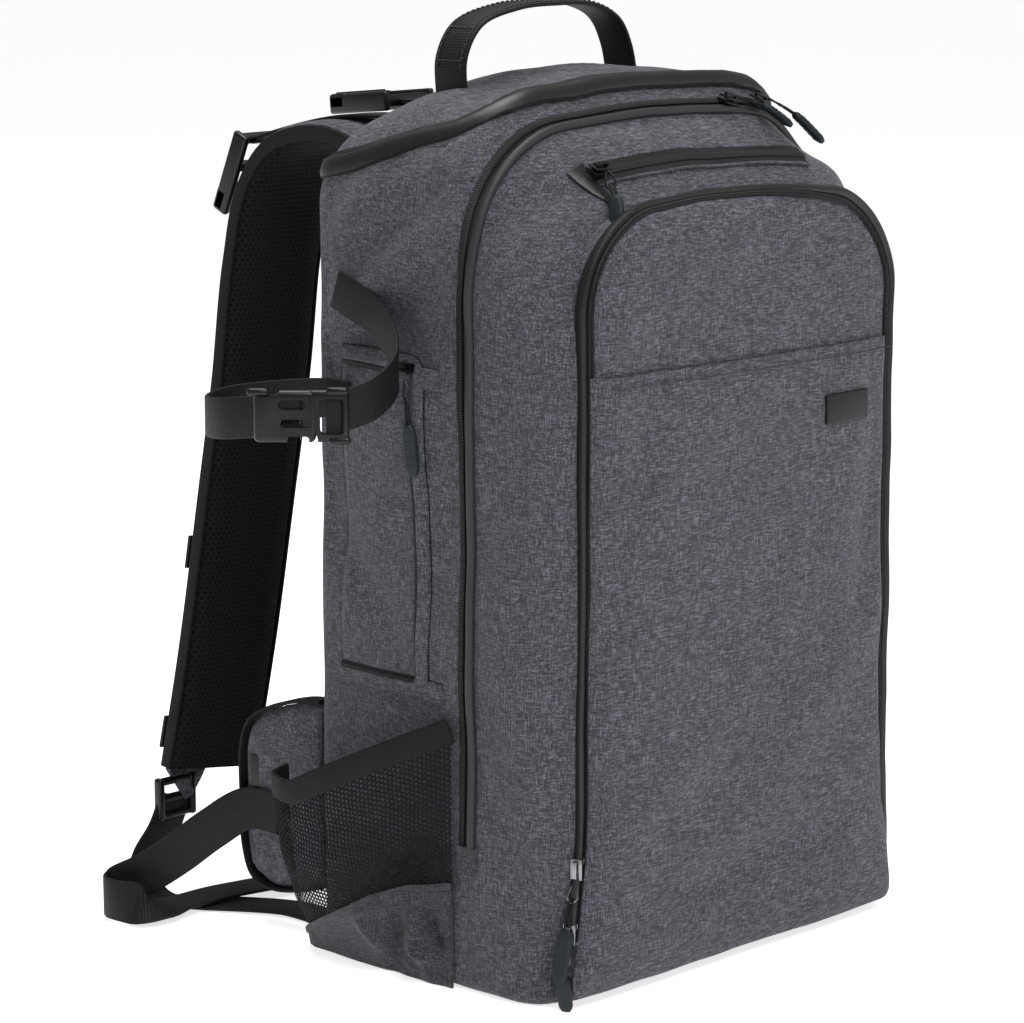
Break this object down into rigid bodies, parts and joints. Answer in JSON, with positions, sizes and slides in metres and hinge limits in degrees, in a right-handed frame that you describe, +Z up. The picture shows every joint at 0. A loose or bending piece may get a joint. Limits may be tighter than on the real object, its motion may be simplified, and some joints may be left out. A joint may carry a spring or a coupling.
{
  "type": "camera backpack",
  "caption": "Tall soft camera backpack with rounded shoulders, front pocket, slanted lid zip, side door, net side pockets, padded straps and hip belt.",
  "frame": {"origin": "on the floor under the middle of the base", "axes": "+Z up; +X to the right when the bag is seen from its front; the front is -Y and the wearer's back is at +Y"},
  "size_m": [0.4613, 0.3706, 0.5369],
  "materials": {
    "main_fabric": "heather grey woven polyester, matt",
    "zip_tape": "coated zip tape and coil, satin",
    "slider_metal": "small plated zip sliders",
    "pull_rubber": "moulded rubber grip on a cord",
    "webbing": "black woven webbing",
    "side_net": "black knitted net",
    "spacer_mesh": "black padded spacer mesh",
    "black_plastic": "black moulded plastic, satin"
  },
  "bodies": {
    "root": {"main_shell": "main_fabric", "lid": "main_fabric", "side_door": "main_fabric", "front_case": "main_fabric", "front_pocket": "main_fabric", "slip_pocket": "main_fabric", "pocket_zip": "zip_tape", "lid_zip": "zip_tape", "case_zip": "zip_tape", "top_pocket_zip": "zip_tape", "side_door_zip": "zip_tape", "case_a_slider": "slider_metal", "case_a_pull": "pull_rubber", "case_b_slider": "slider_metal", "case_b_pull": "pull_rubber", "pocket_a_slider": "slider_metal", "pocket_a_pull": "pull_rubber", "pocket_b_slider": "slider_metal", "pocket_b_pull": "pull_rubber", "top_pocket_slider": "slider_metal", "top_pocket_pull": "pull_rubber", "side_door_slider": "slider_metal", "side_door_pull": "pull_rubber", "lid_slider": "slider_metal", "lid_pull": "pull_rubber", "handle": "webbing", "label_plate": "black_plastic", "net_rim_left": "webbing", "net_left": "side_net", "boot_left": "main_fabric", "net_rim_right": "webbing", "net_right": "side_net", "boot_right": "main_fabric", "side_strap_front": "webbing", "side_strap_rear": "webbing", "side_buckle": "black_plastic", "shoulder_strap_left": "spacer_mesh", "strap_keeper_left_upper": "webbing", "strap_keeper_left_lower": "webbing", "lifter_buckle_left": "black_plastic", "lifter_strap_left": "webbing", "shoulder_strap_right": "spacer_mesh", "strap_keeper_right_upper": "webbing", "strap_keeper_right_lower": "webbing", "lifter_buckle_right": "black_plastic", "lifter_strap_right": "webbing", "strap_adjuster_left": "black_plastic", "strap_web_left": "webbing", "strap_adjuster_right": "black_plastic", "strap_web_right": "webbing", "back_pad_left": "spacer_mesh", "back_pad_right": "spacer_mesh", "lumbar_pad": "spacer_mesh", "hip_fin_left": "main_fabric", "hip_fin_right": "main_fabric", "hip_web_left": "webbing", "hip_web_right": "webbing", "hip_buckle": "black_plastic"}
  },
  "joints": []
}
